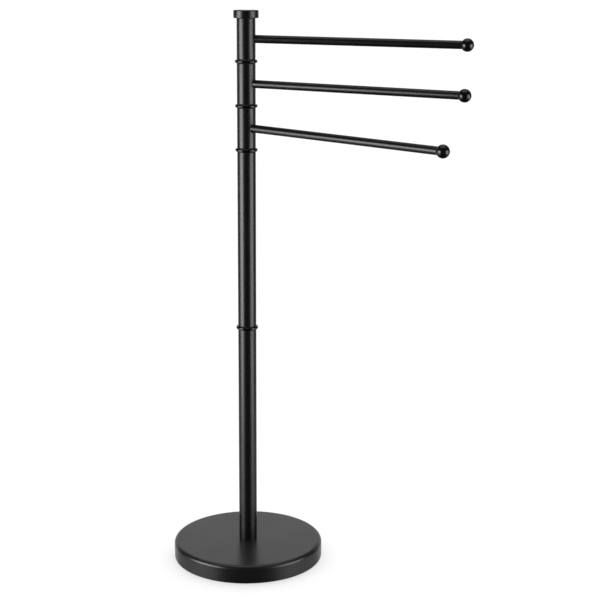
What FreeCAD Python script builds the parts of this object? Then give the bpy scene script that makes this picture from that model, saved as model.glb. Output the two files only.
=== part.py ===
import FreeCAD, Part
import os
from math import cos, radians, sin, sqrt

# Freestanding towel stand: a weighted round base, a post of two screwed tubes, and three arms
# that swivel one above the other on a spindle at the top of the post.
# Millimetres. +Z is up, -Y is the front and the arms stand towards +X.
# The origin is the centre of the base's resting face, on the axis of the post.

# ---- Base ----------------------------------------------------------------------------------
base_diameter = 217.0
base_cover_height = 26.5        # outside, from the rim to the top face
base_cover_wall = 1.5
base_edge_radius = 5.2          # outside, round the top edge
base_rim_radius = 2.5           # outside, where the rim is rolled in under the weight
least_inner_radius = 0.3        # of the shell's inner edge, if the wall is as thick as the edge
base_weight_gap = 0.5           # from the weight to the cover's side wall
base_pad_thickness = 3.0
base_pad_proud = 0.5            # how far the pad stands below the cover's rim
base_pad_inset = 1.0            # from the weight's edge to the pad's edge
base_pad_edge_radius = 0.8
base_pad_hole_spare = 2.0       # from the bolt's pocket to the pad's hole, all round

# Underside of the casting: a boss, an outer band, and pockets between radial ribs.
weight_boss_diameter = 58.0
weight_band_width = 17.0
weight_pocket_depth = 9.0
weight_rib_width = 9.0
weight_rib_count = 6
weight_pocket_corner = 4.0
bolt_pocket_diameter = 30.0
bolt_web_thickness = 7.5        # iron left between the bolt's pocket and the cover

base_bolt_diameter = 10.0
base_bolt_length = 26.0         # under the head
bolt_head_width = 17.0          # across flats
bolt_head_height = 6.4
flat_washer_diameter = 24.0
flat_washer_thickness = 2.0
lock_washer_diameter = 18.0
lock_washer_thickness = 2.2
lock_washer_split = 2.0

# ---- Post ----------------------------------------------------------------------------------
post_diameter = 26.0
post_wall = 1.2
tube_end_radius = 0.4           # rounding of a tube's outer edge where it meets a bead or the cap
lower_tube_length = 318.6
upper_tube_length = 249.3
foot_plug_length = 16.0
joint_plug_length = 14.0
spindle_plug_length = 20.0
plug_chamfer = 0.6
joint_stud_diameter = 8.0
joint_stud_length = 24.0
screw_chamfer = 0.8             # on the ends of the bolt, the stud and the spindle

# ---- Bead rings ----------------------------------------------------------------------------
bead_diameter = 31.4
bead_height = 5.2
bead_spigot_height = 1.5        # the step that centres a bead in the end of a tube

# ---- Swivel head ---------------------------------------------------------------------------
spindle_diameter = 12.0
spindle_thread_diameter = 10.0
spindle_lower_thread_length = 16.0
spindle_upper_thread_length = 6.0
collar_length = 54.7
bush_length = 14.0              # inside the collar
bush_flange_diameter = 25.2
bush_flange_thickness = 0.5
bush_lead_in = 0.6

cap_diameter = 34.8
cap_height = 10.7
cap_top_radius = 1.3
cap_bottom_radius = 0.8
cap_hole_spare = 0.8            # depth of the cap's hole past the spindle's end

# ---- Arms ----------------------------------------------------------------------------------
arm_diameter = 11.2
arm_wall = 1.0
arm_root_inside = 1.4           # how far the tube reaches in past the collar's wall
arm_weld_radius = 0.9           # the fillet weld round the root
ball_diameter = 17.8
ball_spigot_length = 12.0
arm_reaches = {"bottom": 331.2, "middle": 318.7, "top": 305.1}      # axis to the ball's centre
arm_rest_angles = {"bottom": -42.5, "middle": -28.5, "top": -17.5}  # about +Z, from +X
arm_droops = {"bottom": 0.9, "middle": 0.6, "top": 0.6}             # degrees below level

# ---- Clearances, on the radius -------------------------------------------------------------
running_clearance = 0.06        # spindle to bush and to bead
thread_clearance = 0.05         # screw to the hole that it is threaded into
bolt_hole_clearance = 0.5       # bolt to the holes that it passes through
press_clearance = 0.02          # plug, spigot and bush to the tube round them
arm_hole_clearance = 0.04       # arm to the hole in its collar
swivel_play = 0.1               # end play of the collars under the cap

# ---- Radii that follow ---------------------------------------------------------------------
base_radius = base_diameter / 2
cover_inner_radius = base_radius - base_cover_wall
weight_radius = cover_inner_radius - base_weight_gap
pad_radius = weight_radius - base_pad_inset
bolt_radius = base_bolt_diameter / 2
bolt_hole_radius = bolt_radius + bolt_hole_clearance
post_radius = post_diameter / 2
post_bore_radius = post_radius - post_wall
plug_radius = post_bore_radius - press_clearance
stud_radius = joint_stud_diameter / 2
spindle_radius = spindle_diameter / 2
spindle_bore_radius = spindle_radius + running_clearance
spindle_thread_radius = spindle_thread_diameter / 2
arm_radius = arm_diameter / 2
arm_bore_radius = arm_radius - arm_wall
ball_radius = ball_diameter / 2
ball_seat = sqrt(ball_radius ** 2 - arm_radius ** 2)      # from the ball's centre back to the tube's end

# ---- Heights that follow, from the floor up ------------------------------------------------
cover_rim_z = base_pad_proud
cover_top_z = cover_rim_z + base_cover_height
weight_top_z = cover_top_z - base_cover_wall
washer_seat_z = weight_top_z - bolt_web_thickness
lock_washer_top_z = washer_seat_z - flat_washer_thickness
bolt_head_top_z = lock_washer_top_z - lock_washer_thickness
lower_tube_top_z = cover_top_z + lower_tube_length
upper_tube_z = lower_tube_top_z + bead_height
upper_tube_top_z = upper_tube_z + upper_tube_length
spindle_seat_z = upper_tube_top_z - bead_spigot_height
head_height = collar_length + 2 * bush_flange_thickness
arm_pitch = head_height + bead_height
cap_z = upper_tube_top_z + len(arm_rest_angles) * arm_pitch + swivel_play

UP = FreeCAD.Vector(0, 0, 1)
OUT = FreeCAD.Vector(1, 0, 0)


def at_height(z):
    return FreeCAD.Vector(0, 0, z)


def disc(radius, height, z):
    return Part.makeCylinder(radius, height, at_height(z))


def pipe(outer_radius, inner_radius, height, z):
    return disc(outer_radius, height, z).cut(disc(inner_radius, height, z))


def crossbar(radius, start_x, end_x, z):
    """A round bar along an arm's axis."""
    return Part.makeCylinder(radius, end_x - start_x, FreeCAD.Vector(start_x, 0, z), OUT)


def turned(*steps):
    """Revolves a closed outline, drawn in the XZ plane, about the post's axis.

    A step is a corner (x, z), or an arc (centre x, centre z, radius, first angle, last angle)
    with its angles counted from +X towards +Z. Straight lines join one step to the next.
    """
    legs = []
    for x, z, *arc in steps:
        centre = FreeCAD.Vector(x, 0, z)
        if arc:
            radius, first, last = arc
            angles = [radians(a) for a in (first, (first + last) / 2, last)]
            points = [centre + FreeCAD.Vector(cos(a), 0, sin(a)) * radius for a in angles]
            legs.append((points[0], points[2], Part.Arc(*points).toShape()))
        else:
            legs.append((centre, centre, None))
    edges = []
    for (_, end, curve), (following, _, _) in zip(legs, legs[1:] + legs[:1]):
        if curve:
            edges.append(curve)
        if end.distanceToPoint(following) > 1e-6:
            edges.append(Part.makeLine(end, following))
    return Part.Face(Part.Wire(edges)).revolve(at_height(0), UP, 360)


def is_upright(edge):
    start, end = [vertex.Point for vertex in (edge.Vertexes[0], edge.Vertexes[-1])]
    return abs(end.z - start.z) > 0.99 * edge.Length


# ---- Base pieces ---------------------------------------------------------------------------

def base_cover():
    """Stamped steel shell, open below, with its rim rolled in."""
    inner_edge = max(base_edge_radius - base_cover_wall, least_inner_radius)
    rim_inner_radius = max(base_rim_radius - base_cover_wall, least_inner_radius)
    rim_x = base_radius - base_rim_radius
    rim_centre_z = cover_rim_z + base_rim_radius
    return turned(
        (bolt_hole_radius, cover_top_z),
        (base_radius - base_edge_radius, cover_top_z - base_edge_radius, base_edge_radius, 90, 0),
        (rim_x, rim_centre_z, base_rim_radius, 0, -90),
        (cover_inner_radius - rim_inner_radius, rim_centre_z, rim_inner_radius, -90, 0),
        (cover_inner_radius - inner_edge, weight_top_z - inner_edge, inner_edge, 0, 90),
        (bolt_hole_radius, weight_top_z),
    )


def base_weight():
    """Cast-iron disc that fills the shell, cored out from below between six ribs."""
    bottom_z = base_pad_thickness
    casting = turned(
        (bolt_hole_radius, weight_top_z),
        (weight_radius - base_edge_radius, weight_top_z - base_edge_radius, base_edge_radius, 90, 0),
        (weight_radius, bottom_z),
        (bolt_hole_radius, bottom_z),
    )
    pockets = pipe(weight_radius - weight_band_width, weight_boss_diameter / 2,
                   weight_pocket_depth, bottom_z)
    for i in range(weight_rib_count):
        rib = Part.makeBox(weight_radius, weight_rib_width, weight_pocket_depth,
                           FreeCAD.Vector(0, -weight_rib_width / 2, bottom_z))
        rib.rotate(at_height(0), UP, 360 * i / weight_rib_count)
        pockets = pockets.cut(rib)
    corners = [edge for edge in pockets.Edges if is_upright(edge)]
    pockets = pockets.makeFillet(weight_pocket_corner, corners)
    bolt_pocket = disc(bolt_pocket_diameter / 2, washer_seat_z - bottom_z, bottom_z)
    return casting.cut(pockets).cut(bolt_pocket)


def base_pad():
    """Soft ring glued under the weight, open where the bolt is reached. It stands on the floor."""
    hole_radius = bolt_pocket_diameter / 2 + base_pad_hole_spare
    return turned(
        (hole_radius, base_pad_thickness),
        (pad_radius, base_pad_thickness),
        (pad_radius - base_pad_edge_radius, base_pad_edge_radius, base_pad_edge_radius, 0, -90),
        (hole_radius, 0),
    )


def base_bolt():
    """Hexagon bolt up through weight and shell into the plug in the foot of the post."""
    corner = bolt_head_width / 2 / cos(radians(30))
    corners = [FreeCAD.Vector(corner * cos(radians(60 * i)), corner * sin(radians(60 * i)),
                              bolt_head_top_z - bolt_head_height) for i in range(7)]
    head = Part.Face(Part.makePolygon(corners)).extrude(at_height(bolt_head_height))
    return head.fuse(screw(bolt_radius, base_bolt_length, bolt_head_top_z))


def lock_washer():
    """Split spring washer."""
    ring = pipe(lock_washer_diameter / 2, bolt_hole_radius, lock_washer_thickness, bolt_head_top_z)
    split = Part.makeBox(lock_washer_diameter, lock_washer_split, lock_washer_thickness,
                         FreeCAD.Vector(0, -lock_washer_split / 2, bolt_head_top_z))
    return ring.cut(split)


# ---- Post pieces ---------------------------------------------------------------------------

def post_tube(length, z, rounded_foot=True):
    """A length of the post's tube, with the outer edge of its ends rounded."""
    radius = min(tube_end_radius, 0.8 * post_wall)
    corner_x = post_radius - radius
    foot = (corner_x, z + radius, radius, -90, 0) if rounded_foot else (post_radius, z)
    return turned((post_bore_radius, z), foot, (corner_x, z + length - radius, radius, 0, 90),
                  (post_bore_radius, z + length))


def screw(radius, length, z):
    """A plain rod in place of a thread, chamfered where it enters at the top."""
    return turned((0, z), (radius, z), (radius, z + length - screw_chamfer),
                  (radius - screw_chamfer, z + length), (0, z + length))


def plug(screw_radius, length, z):
    """Round insert fixed in the end of a tube, bored for a screw."""
    bore = screw_radius + thread_clearance
    return turned((bore, z), (plug_radius - plug_chamfer, z), (plug_radius, z + plug_chamfer),
                  (plug_radius, z + length - plug_chamfer),
                  (plug_radius - plug_chamfer, z + length), (bore, z + length))


def bead(bore, z, spigot_below=False, spigot_above=False):
    """Half-round ring between two tubes, with a step into each tube end that it centres."""
    half = bead_height / 2
    flat_radius = bead_diameter / 2 - half
    top_z = z + bead_height
    low_z = z - bead_spigot_height
    high_z = top_z + bead_spigot_height
    below = [(bore, low_z), (plug_radius, low_z), (plug_radius, z)] if spigot_below else [(bore, z)]
    above = [(plug_radius, top_z), (plug_radius, high_z), (bore, high_z)] if spigot_above else [(bore, top_z)]
    return turned(*below, (flat_radius, z + half, half, -90, 90), *above)


def spindle():
    """Shouldered rod that carries the arms: screwed into the post, with the cap screwed on it."""
    foot_z = spindle_seat_z - spindle_lower_thread_length
    tip_z = cap_z + spindle_upper_thread_length
    thread = spindle_thread_radius
    return turned(
        (0, foot_z), (thread - screw_chamfer, foot_z), (thread, foot_z + screw_chamfer),
        (thread, spindle_seat_z), (spindle_radius, spindle_seat_z),
        (spindle_radius, cap_z), (thread, cap_z),
        (thread, tip_z - screw_chamfer), (thread - screw_chamfer, tip_z), (0, tip_z),
    )


def top_cap():
    """Round knob that closes the post and keeps the collars on the spindle."""
    radius = cap_diameter / 2
    bore = spindle_thread_radius + thread_clearance
    bore_top_z = cap_z + spindle_upper_thread_length + cap_hole_spare
    top_z = cap_z + cap_height
    return turned(
        (bore, cap_z),
        (radius - cap_bottom_radius, cap_z + cap_bottom_radius, cap_bottom_radius, -90, 0),
        (radius - cap_top_radius, top_z - cap_top_radius, cap_top_radius, 0, 90),
        (0, top_z), (0, bore_top_z), (bore, bore_top_z),
    )


# ---- Arm pieces, with the arm towards +X and its collar's lower bush standing on z = 0 -------

arm_axis_z = head_height / 2


def sloped(shape, droop):
    """Turns a shape about the middle of its collar, so that what is along +X points down."""
    turned_shape = shape.copy()
    turned_shape.rotate(at_height(arm_axis_z), FreeCAD.Vector(0, 1, 0), droop)
    return turned_shape


def arm_collar(droop):
    """Short length of the post's tube with a hole for the arm."""
    hole = crossbar(arm_radius + arm_hole_clearance, 0, post_diameter, arm_axis_z)
    return post_tube(collar_length, bush_flange_thickness).cut(sloped(hole, droop))


def lower_bush():
    """Flanged plain bearing pressed into the collar's end."""
    flange_top = bush_flange_thickness
    end = flange_top + bush_length
    return turned(
        (spindle_bore_radius, 0), (bush_flange_diameter / 2, 0),
        (bush_flange_diameter / 2, flange_top), (plug_radius, flange_top),
        (plug_radius, end - bush_lead_in), (plug_radius - bush_lead_in, end),
        (spindle_bore_radius, end),
    )


def upper_bush():
    return lower_bush().mirror(at_height(arm_axis_z), UP)


def arm_tube(reach, droop):
    """Thin tube whose coped root goes through the collar's wall and is welded round it.

    It is made level, against a collar that leans the other way, and then turned down.
    """
    tube_end = reach - ball_seat
    collar_solid = sloped(disc(post_radius, collar_length, bush_flange_thickness), -droop)
    crossed = collar_solid.fuse(crossbar(arm_radius, 0, tube_end, arm_axis_z))
    seam_height = arm_radius + 0.1 * arm_wall
    seam = [edge for edge in crossed.Edges
            if edge.BoundBox.XMin > 0 and edge.BoundBox.XMax < post_radius + arm_wall
            and abs(edge.BoundBox.ZMin - arm_axis_z) < seam_height
            and abs(edge.BoundBox.ZMax - arm_axis_z) < seam_height]
    outside = crossed.makeFillet(arm_weld_radius, seam).cut(collar_solid)
    root_x = post_bore_radius - arm_root_inside
    root = crossbar(arm_radius, root_x, tube_end, arm_axis_z)
    bore = crossbar(arm_bore_radius, 0, tube_end, arm_axis_z)
    return sloped(outside.fuse(root).cut(bore).removeSplitter(), droop)


def ball_end(reach, droop):
    """Ball with a flat that meets the tube's end and a spigot that is fixed inside it."""
    tube_end = reach - ball_seat
    ball = Part.makeSphere(ball_radius, FreeCAD.Vector(reach, 0, arm_axis_z))
    ball = ball.cut(crossbar(ball_radius, tube_end - ball_radius, tube_end, arm_axis_z))
    spigot = crossbar(arm_bore_radius - press_clearance, tube_end - ball_spigot_length,
                      reach, arm_axis_z)
    return sloped(ball.fuse(spigot).removeSplitter(), droop)


def at_arm(shape, seat_z, angle):
    placed = shape.copy()
    placed.rotate(at_height(0), UP, angle)
    placed.translate(at_height(seat_z))
    return placed


# ---- Assembly ------------------------------------------------------------------------------

pieces = {
    "base_cover": base_cover(),
    "base_weight": base_weight(),
    "base_pad": base_pad(),
    "base_bolt": base_bolt(),
    "base_lock_washer": lock_washer(),
    "base_flat_washer": pipe(flat_washer_diameter / 2, bolt_hole_radius, flat_washer_thickness,
                             lock_washer_top_z),
    "lower_post_tube": post_tube(lower_tube_length, cover_top_z, rounded_foot=False),
    "lower_post_foot_plug": plug(bolt_radius, foot_plug_length, cover_top_z),
    "lower_post_top_plug": plug(stud_radius, joint_plug_length,
                                lower_tube_top_z - bead_spigot_height - joint_plug_length),
    "post_joint_stud": screw(stud_radius, joint_stud_length,
                             lower_tube_top_z + bead_height / 2 - joint_stud_length / 2),
    "post_joint_bead": bead(stud_radius + bolt_hole_clearance, lower_tube_top_z,
                            spigot_below=True, spigot_above=True),
    "upper_post_tube": post_tube(upper_tube_length, upper_tube_z),
    "upper_post_bottom_plug": plug(stud_radius, joint_plug_length, upper_tube_z + bead_spigot_height),
    "upper_post_top_plug": plug(spindle_thread_radius, spindle_plug_length,
                                spindle_seat_z - spindle_plug_length),
    "swivel_spindle": spindle(),
    "top_cap": top_cap(),
}

for level, (arm, angle) in enumerate(arm_rest_angles.items()):
    reach, droop = arm_reaches[arm], arm_droops[arm]
    bead_z = upper_tube_top_z + level * arm_pitch
    pieces[arm + "_swivel_bead"] = bead(spindle_bore_radius, bead_z, spigot_below=level == 0)
    arm_pieces = {
        "arm_collar": arm_collar(droop),
        "arm_lower_bush": lower_bush(),
        "arm_upper_bush": upper_bush(),
        "arm_tube": arm_tube(reach, droop),
        "arm_ball": ball_end(reach, droop),
    }
    for name, shape in arm_pieces.items():
        pieces[arm + "_" + name] = at_arm(shape, bead_z + bead_height, angle)

os.makedirs("parts", exist_ok=True)
for name, shape in pieces.items():
    shape.exportStep("parts/" + name + ".step")
print(len(pieces), "pieces, overall height", cap_z + cap_height)
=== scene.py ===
"""Looks of the freestanding towel stand: satin black powder coat in a white studio.

Metres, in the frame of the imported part: +Z up, -Y the front, +X the side the arms stand towards.
"""
from math import cos, pi, radians, sin

import bpy
from mathutils import Matrix, Vector

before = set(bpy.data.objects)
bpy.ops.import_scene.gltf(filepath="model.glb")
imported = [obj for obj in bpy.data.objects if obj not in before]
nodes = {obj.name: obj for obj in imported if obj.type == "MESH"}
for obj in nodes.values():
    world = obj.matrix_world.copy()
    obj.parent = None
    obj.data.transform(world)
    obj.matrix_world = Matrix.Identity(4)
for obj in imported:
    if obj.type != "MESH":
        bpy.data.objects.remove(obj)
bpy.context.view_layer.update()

# ---- Camera, fitted to the photograph with no shift of its lens --------------------------------
IMAGE_WIDTH = 600                 # pixels
CAMERA_FOCAL = 1437.55            # pixels
SENSOR_WIDTH = 36.0               # millimetres
CAMERA_SIGHT = 100                # how far it sees
CAMERA_DISTANCE = 2.000           # from the post's axis, along -Y
CAMERA_HEIGHT = 0.8495
CAMERA_YAW = radians(2.16)        # to the right of +Y
CAMERA_PITCH = radians(13.00)     # below the horizon
CAMERA_ROLL = radians(0.24)       # the camera's right side up


def make_camera():
    """A camera in front of the stand, turned by its yaw, pitch and roll."""
    forward = Vector((sin(CAMERA_YAW) * cos(CAMERA_PITCH),
                      cos(CAMERA_YAW) * cos(CAMERA_PITCH), -sin(CAMERA_PITCH)))
    level = Vector((cos(CAMERA_YAW), -sin(CAMERA_YAW), 0))
    upright = level.cross(forward)
    right = level * cos(CAMERA_ROLL) + upright * sin(CAMERA_ROLL)
    up = upright * cos(CAMERA_ROLL) - level * sin(CAMERA_ROLL)
    data = bpy.data.cameras.new("camera")
    data.sensor_width = SENSOR_WIDTH
    data.lens = CAMERA_FOCAL / IMAGE_WIDTH * SENSOR_WIDTH
    data.clip_end = CAMERA_SIGHT
    camera = bpy.data.objects.new("camera", data)
    bpy.context.scene.collection.objects.link(camera)
    turn = Matrix((right, up, -forward)).transposed().to_4x4()
    camera.matrix_world = Matrix.Translation((0, -CAMERA_DISTANCE, CAMERA_HEIGHT)) @ turn
    bpy.context.scene.camera = camera


make_camera()

# ---- Shader nodes ------------------------------------------------------------------------------
NOISE_LOW = 0.3                   # most of a noise lies between these two
NOISE_HIGH = 0.7


def grey(level):
    return (level, level, level, 1)


class Nodes:
    """Short ways to the nodes of one tree."""

    def __init__(self, tree):
        self.tree = tree

    def new(self, kind):
        return self.tree.nodes.new(kind)

    def put(self, socket, value):
        """A link into the socket, or a number or colour set on it."""
        if isinstance(value, bpy.types.NodeSocket):
            self.tree.links.new(value, socket)
        else:
            socket.default_value = value

    def step(self, value, start, end, low=0.0, high=1.0):
        """A smooth step of a value, from low at start to high at end."""
        node = self.new("ShaderNodeMapRange")
        node.interpolation_type = "SMOOTHSTEP"
        for socket, number in (("Value", value), ("From Min", start), ("From Max", end),
                               ("To Min", low), ("To Max", high)):
            self.put(node.inputs[socket], number)
        return node.outputs[0]

    def spread(self, noise, low=0.0, high=1.0):
        """A noise stretched so that most of it runs from low to high."""
        return self.step(noise, NOISE_LOW, NOISE_HIGH, low, high)

    def math(self, operation, first, second):
        node = self.new("ShaderNodeMath")
        node.operation = operation
        self.put(node.inputs[0], first)
        self.put(node.inputs[1], second)
        return node.outputs[0]

    def blend(self, factor, first, second):
        """A colour between two others."""
        node = self.new("ShaderNodeMix")
        node.data_type = "RGBA"
        for socket, value in (("Factor", factor), ("A", first), ("B", second)):
            self.put(node.inputs[socket], value)
        return node.outputs["Result"]

    def place(self, scale=None):
        """The place on the piece in metres, or times a scale for each axis."""
        place = self.new("ShaderNodeTexCoord").outputs["Object"]
        if scale is None:
            return place
        node = self.new("ShaderNodeVectorMath")
        node.operation = "MULTIPLY"
        self.put(node.inputs[0], place)
        self.put(node.inputs[1], scale)
        return node.outputs[0]

    def noise(self, grain, detail=2.0, scale=None):
        """Noise with a grain of about this size, in metres; 0 to 1 with its middle at 0.5."""
        node = self.new("ShaderNodeTexNoise")
        self.put(node.inputs["Vector"], self.place(scale))
        self.put(node.inputs["Scale"], 1 / grain)
        self.put(node.inputs["Detail"], detail)
        return node.outputs["Fac"]

    def bump(self, height, depth, under=None):
        """A surface raised by depth metres where the height is 1, on top of another bump."""
        node = self.new("ShaderNodeBump")
        self.put(node.inputs["Distance"], depth)
        self.put(node.inputs["Height"], height)
        if under is not None:
            self.put(node.inputs["Normal"], under)
        return node.outputs[0]

    def background(self, light):
        """A world's light."""
        node = self.new("ShaderNodeBackground")
        self.put(node.inputs["Color"], light)
        return node.outputs[0]

    def switch(self, test, off, on):
        """One shader where the test is 0 and the other where it is 1."""
        node = self.new("ShaderNodeMixShader")
        for socket, value in zip(node.inputs, (test, off, on)):
            self.put(socket, value)
        return node.outputs[0]


def new_material(name, roughness, **constants):
    """A material, the short ways to its nodes and the sockets of its shader.

    The constants are sockets that are the same all over, with _ for the spaces in their names.
    """
    material = bpy.data.materials.new(name)
    material.use_nodes = True
    kit = Nodes(material.node_tree)
    sockets = material.node_tree.nodes["Principled BSDF"].inputs
    sockets["Roughness"].default_value = roughness
    for socket, value in constants.items():
        sockets[socket.replace("_", " ")].default_value = value
    return material, kit, sockets


# ---- Powder coat -------------------------------------------------------------------------------
COAT_INDEX = 1.5                  # of refraction
COAT_TINT = (0.965, 0.965, 1.0, 1)   # of its gloss, faintly blue
COAT_ROUGHNESS = 0.32
BALL_ROUGHNESS = 0.25
BEAD_ROUGHNESS = 0.17
SPECK_DULLING = 0.03              # how far the specks and the clouds change the roughness
CLOUD_DULLING = 0.015
COAT_BLACK = 0.002                # reflectance of its pigment
SHEET_BLACK = 0.009               # on the base, a little greyer
COAT_GRAIN = 0.35                 # how far the pigment varies in its specks
TUBE_PEEL = 0.0016                # grain of the orange peel
SHEET_PEEL = 0.0022
BALL_PEEL = 0.0012
BEAD_PEEL = 0.0010
CLOUD_GRAIN = 0.04
SPECK_SHARE = 0.25                # a speck's grain, and the depths, as shares of the peel's grain
SPECK_DEPTH = 0.0008
PEEL_DEPTH = 0.0035


def powder_coat(name, peel, black=COAT_BLACK, roughness=COAT_ROUGHNESS):
    """Satin black powder coat whose orange peel has this grain."""
    material, kit, sockets = new_material(name, roughness, IOR=COAT_INDEX, Specular_Tint=COAT_TINT)
    speck = kit.noise(SPECK_SHARE * peel, detail=3.0)
    cloud = kit.noise(CLOUD_GRAIN)
    darkest = grey(black * (1 - COAT_GRAIN))
    lightest = grey(black * (1 + COAT_GRAIN))
    kit.put(sockets["Base Color"], kit.blend(kit.spread(speck), darkest, lightest))
    dull = kit.math("ADD", kit.spread(speck, -SPECK_DULLING, SPECK_DULLING),
                    kit.spread(cloud, -CLOUD_DULLING, CLOUD_DULLING))
    kit.put(sockets["Roughness"], kit.math("ADD", dull, roughness))
    waves = kit.bump(kit.noise(peel), PEEL_DEPTH * peel)
    kit.put(sockets["Normal"], kit.bump(speck, SPECK_DEPTH * peel, waves))
    return material


# ---- Cast iron ---------------------------------------------------------------------------------
IRON_DARK = (0.045, 0.045, 0.048, 1)
IRON_LIGHT = (0.13, 0.13, 0.135, 1)
IRON_RUST = (0.16, 0.075, 0.035, 1)
IRON_METALLIC = 0.35
IRON_ROUGHNESS = (0.9, 0.68)      # in the hollows and on the grains of the sand
RUST_PATCHES = (0.52, 0.68)       # the noises over which the rust fades in:
RUST_HOLLOWS = (0.6, 0.4)         # in patches, and there in the sand's hollows
SAND_GRAIN = 0.0012               # of the mould's sand
SAND_DEPTH = 0.00035
PATCH_GRAIN = 0.018
PATCH_DEPTH = 0.0008


def cast_iron(name):
    """Rough sand-cast iron, dark with a little rust in the sand's hollows."""
    material, kit, sockets = new_material(name, roughness=0.8, Metallic=IRON_METALLIC)
    sand = kit.noise(SAND_GRAIN, detail=4.0)
    patch = kit.noise(PATCH_GRAIN, detail=3.0)
    iron = kit.blend(kit.spread(sand), IRON_DARK, IRON_LIGHT)
    rusty = kit.math("MULTIPLY", kit.step(patch, *RUST_PATCHES), kit.step(sand, *RUST_HOLLOWS))
    kit.put(sockets["Base Color"], kit.blend(rusty, iron, IRON_RUST))
    kit.put(sockets["Roughness"], kit.spread(sand, *IRON_ROUGHNESS))
    kit.put(sockets["Normal"], kit.bump(sand, SAND_DEPTH, kit.bump(patch, PATCH_DEPTH)))
    return material


# ---- Foam rubber -------------------------------------------------------------------------------
RUBBER_BLACK = (0.012, 0.012, 0.012, 1)
RUBBER_SCUFFED = (0.035, 0.034, 0.033, 1)
RUBBER_ROUGHNESS = (0.78, 0.92)
SCUFFS = (0.35, 0.75)             # the noise over which a scuff fades in
SCUFF_GRAIN = 0.025
PITS = (0.35, 0.6)                # the noise from the floor of a pit to its rim
PIT_GRAIN = 0.0007
PIT_DEPTH = 0.00012


def rubber(name):
    """Matt black foam rubber, finely pitted and scuffed in patches."""
    material, kit, sockets = new_material(name, roughness=0.85)
    pits = kit.noise(PIT_GRAIN, detail=3.0)
    scuffed = kit.step(kit.noise(SCUFF_GRAIN, detail=4.0), *SCUFFS)
    kit.put(sockets["Base Color"], kit.blend(scuffed, RUBBER_BLACK, RUBBER_SCUFFED))
    kit.put(sockets["Roughness"], kit.spread(pits, *RUBBER_ROUGHNESS))
    kit.put(sockets["Normal"], kit.bump(kit.step(pits, *PITS), PIT_DEPTH))
    return material


# ---- Zinc-plated steel -------------------------------------------------------------------------
ZINC_BLUE = (0.50, 0.53, 0.58, 1)
ZINC_STRAW = (0.60, 0.57, 0.50, 1)
ZINC_ROUGHNESS = (0.24, 0.42)
TINTS = (0.35, 0.65)              # the noise over which blue turns to straw
TINT_GRAIN = 0.006
LINE_GRAIN = 0.0005               # of the turning lines
LINE_SCALE = (0.15, 0.15, 1.0)    # draws them out round the upright axis
LINE_DEPTH = 0.00001


def zinc_steel(name):
    """Turned steel with bright zinc plate, faintly blue and straw in patches."""
    material, kit, sockets = new_material(name, roughness=0.3, Metallic=1.0)
    lines = kit.noise(LINE_GRAIN, scale=LINE_SCALE)
    straw = kit.step(kit.noise(TINT_GRAIN), *TINTS)
    kit.put(sockets["Base Color"], kit.blend(straw, ZINC_BLUE, ZINC_STRAW))
    kit.put(sockets["Roughness"], kit.spread(lines, *ZINC_ROUGHNESS))
    kit.put(sockets["Normal"], kit.bump(lines, LINE_DEPTH))
    return material


# ---- Moulded nylon -----------------------------------------------------------------------------
NYLON_DARK = (0.008, 0.008, 0.009, 1)
NYLON_LIGHT = (0.02, 0.02, 0.021, 1)
NYLON_ROUGHNESS = (0.45, 0.62)
SPARK_GRAIN = 0.0004              # of the skin that a spark-eroded mould leaves
SPARK_DEPTH = 0.000006


def nylon(name):
    """Moulded black nylon, half matt."""
    material, kit, sockets = new_material(name, roughness=0.5)
    spark = kit.noise(SPARK_GRAIN, detail=3.0)
    kit.put(sockets["Base Color"], kit.blend(spark, NYLON_DARK, NYLON_LIGHT))
    kit.put(sockets["Roughness"], kit.spread(spark, *NYLON_ROUGHNESS))
    kit.put(sockets["Normal"], kit.bump(spark, SPARK_DEPTH))
    return material


# ---- Which piece has which finish --------------------------------------------------------------
# A finish for each slot of the record, and coats of their own for pieces by how their names end.
by_slot = {
    "black_satin": powder_coat("powder_coat_on_tube", TUBE_PEEL),
    "raw_iron": cast_iron("sand_cast_iron"),
    "rubber_pad": rubber("foam_rubber"),
    "zinc_steel": zinc_steel("zinc_plated_steel"),
    "nylon": nylon("moulded_nylon"),
}
by_name = {
    "base_cover": powder_coat("powder_coat_on_sheet", SHEET_PEEL, SHEET_BLACK),
    "_ball": powder_coat("powder_coat_on_turned_steel", BALL_PEEL, roughness=BALL_ROUGHNESS),
    "_bead": powder_coat("powder_coat_on_rings", BEAD_PEEL, roughness=BEAD_ROUGHNESS),
}
for name, node in nodes.items():
    finish = by_slot[node.data.materials[0].name]
    for ending, coat in by_name.items():
        if name.endswith(ending):
            finish = coat
    node.data.materials.clear()
    node.data.materials.append(finish)

# ---- Studio ------------------------------------------------------------------------------------
FLOOR_REACH = 60.0                # half its width
FLOOR_GLOW = 0.60                 # the floor's own light, as of a lit table
FLOOR_ALBEDO = 0.42               # the rest comes from the room, so that the base has its shadow
SOFTBOX_DISTANCE = 3.0            # from the post's axis
SOFTBOX_WIDTH = 2.2
SOFTBOX_TOP = 1.25


def make_floor():
    """A pale floor for the camera alone: the stand neither mirrors it nor is lit by it."""
    mesh = bpy.data.meshes.new("floor")
    r = FLOOR_REACH
    mesh.from_pydata([(-r, -r, 0), (r, -r, 0), (r, r, 0), (-r, r, 0)], [], [(0, 1, 2, 3)])
    floor = bpy.data.objects.new("floor", mesh)
    bpy.context.scene.collection.objects.link(floor)
    material, _, _ = new_material("pale_floor", roughness=1.0, Base_Color=grey(FLOOR_ALBEDO),
                                  Specular_IOR_Level=0.0, Emission_Color=grey(1),
                                  Emission_Strength=FLOOR_GLOW)
    mesh.materials.append(material)
    floor.visible_glossy = False
    floor.visible_diffuse = False
    floor.visible_shadow = False
    return floor


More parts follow.
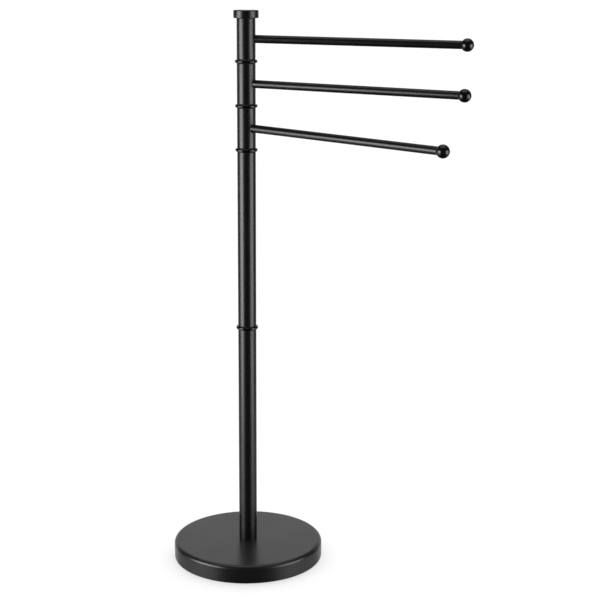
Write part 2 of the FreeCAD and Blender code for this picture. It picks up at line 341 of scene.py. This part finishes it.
lit_by_the_room_alone = bpy.data.collections.new("lit_by_the_room_alone")
lit_by_the_room_alone.objects.link(make_floor())
lit_by_the_room_alone.collection_objects[0].light_linking.link_state = "EXCLUDE"


def softbox(name, azimuth, bottom, radiance):
    """A standing softbox that only the gloss shows, at an azimuth in degrees right of the front."""
    a = radians(azimuth)
    height = SOFTBOX_TOP - bottom
    data = bpy.data.lights.new(name, "AREA")
    data.shape = "RECTANGLE"
    data.size = SOFTBOX_WIDTH
    data.size_y = height
    data.energy = radiance * pi * SOFTBOX_WIDTH * height
    light = bpy.data.objects.new(name, data)
    inward = Vector((-sin(a), cos(a), 0))
    light.location = (sin(a) * SOFTBOX_DISTANCE, -cos(a) * SOFTBOX_DISTANCE, bottom + height / 2)
    light.rotation_euler = inward.to_track_quat("-Z", "Y").to_euler()
    light.visible_camera = False
    light.visible_diffuse = False
    light.light_linking.receiver_collection = lit_by_the_room_alone
    bpy.context.scene.collection.objects.link(light)


softbox("left_softbox", -67, -0.65, 8.0)
softbox("right_softbox", 65, -0.72, 4.7)

# ---- The room and the sky ----------------------------------------------------------------------
# By a ray's direction: x to the right, y to the back, z up. A pair is the start and the end of a
# smooth step.
ROOM_WHITE = 0.78                 # of the screen and of the floor at the sides, in the gloss
SCREEN_Y = (0.55, 0.85)           # the screen stands behind
SCREEN_Z = (0.45, 0.70)           # and ends between 27 and 44 degrees above the horizon
SIDES_X = (0.55, 0.80)            # the lit floor shows at both sides
SIDES_Z = (-0.25, -0.45)          # and fades in from 14 to 27 degrees below the horizon
CEILING_Z = (0.78, 0.93)
CEILING_LEAN = 0.12               # how far the ceiling comes down behind, for each unit of y
SKY_AROUND = 0.15                 # soft light from all round
SKY_ABOVE = 1.3                   # added to it towards the zenith
SKY_BEHIND = 0.9                  # how much more of it comes from behind, and less from the front


def make_world():
    """White for the camera; for the gloss, a dark room with screens; for soft light, a sky."""
    world = bpy.data.worlds.new("studio")
    world.use_nodes = True
    world.node_tree.nodes.clear()
    kit = Nodes(world.node_tree)
    split = kit.new("ShaderNodeSeparateXYZ")
    kit.put(split.inputs[0], kit.new("ShaderNodeTexCoord").outputs["Generated"])
    x, y, z = split.outputs
    aside = kit.math("ABSOLUTE", x, 0.0)
    screen = kit.math("MULTIPLY", kit.step(y, *SCREEN_Y), kit.step(z, *SCREEN_Z, ROOM_WHITE, 0.0))
    sides = kit.math("MULTIPLY", kit.step(aside, *SIDES_X), kit.step(z, *SIDES_Z, 0.0, ROOM_WHITE))
    ceiling = kit.step(kit.math("ADD", z, kit.math("MULTIPLY", y, CEILING_LEAN)), *CEILING_Z)
    room = kit.math("ADD", kit.math("ADD", screen, sides), ceiling)
    above = kit.math("MULTIPLY", kit.math("MAXIMUM", z, 0.0), SKY_ABOVE)
    lean = kit.math("ADD", kit.math("MULTIPLY", y, SKY_BEHIND), 1.0)
    sky = kit.math("MULTIPLY", kit.math("ADD", above, SKY_AROUND), lean)
    ray = kit.new("ShaderNodeLightPath").outputs
    light = kit.switch(ray["Is Glossy Ray"], kit.background(grey(1)), kit.background(room))
    light = kit.switch(ray["Is Diffuse Ray"], light, kit.background(sky))
    output = kit.new("ShaderNodeOutputWorld")
    kit.put(output.inputs["Surface"], light)
    bpy.context.scene.world = world


make_world()
bpy.context.scene.view_settings.view_transform = "Standard"
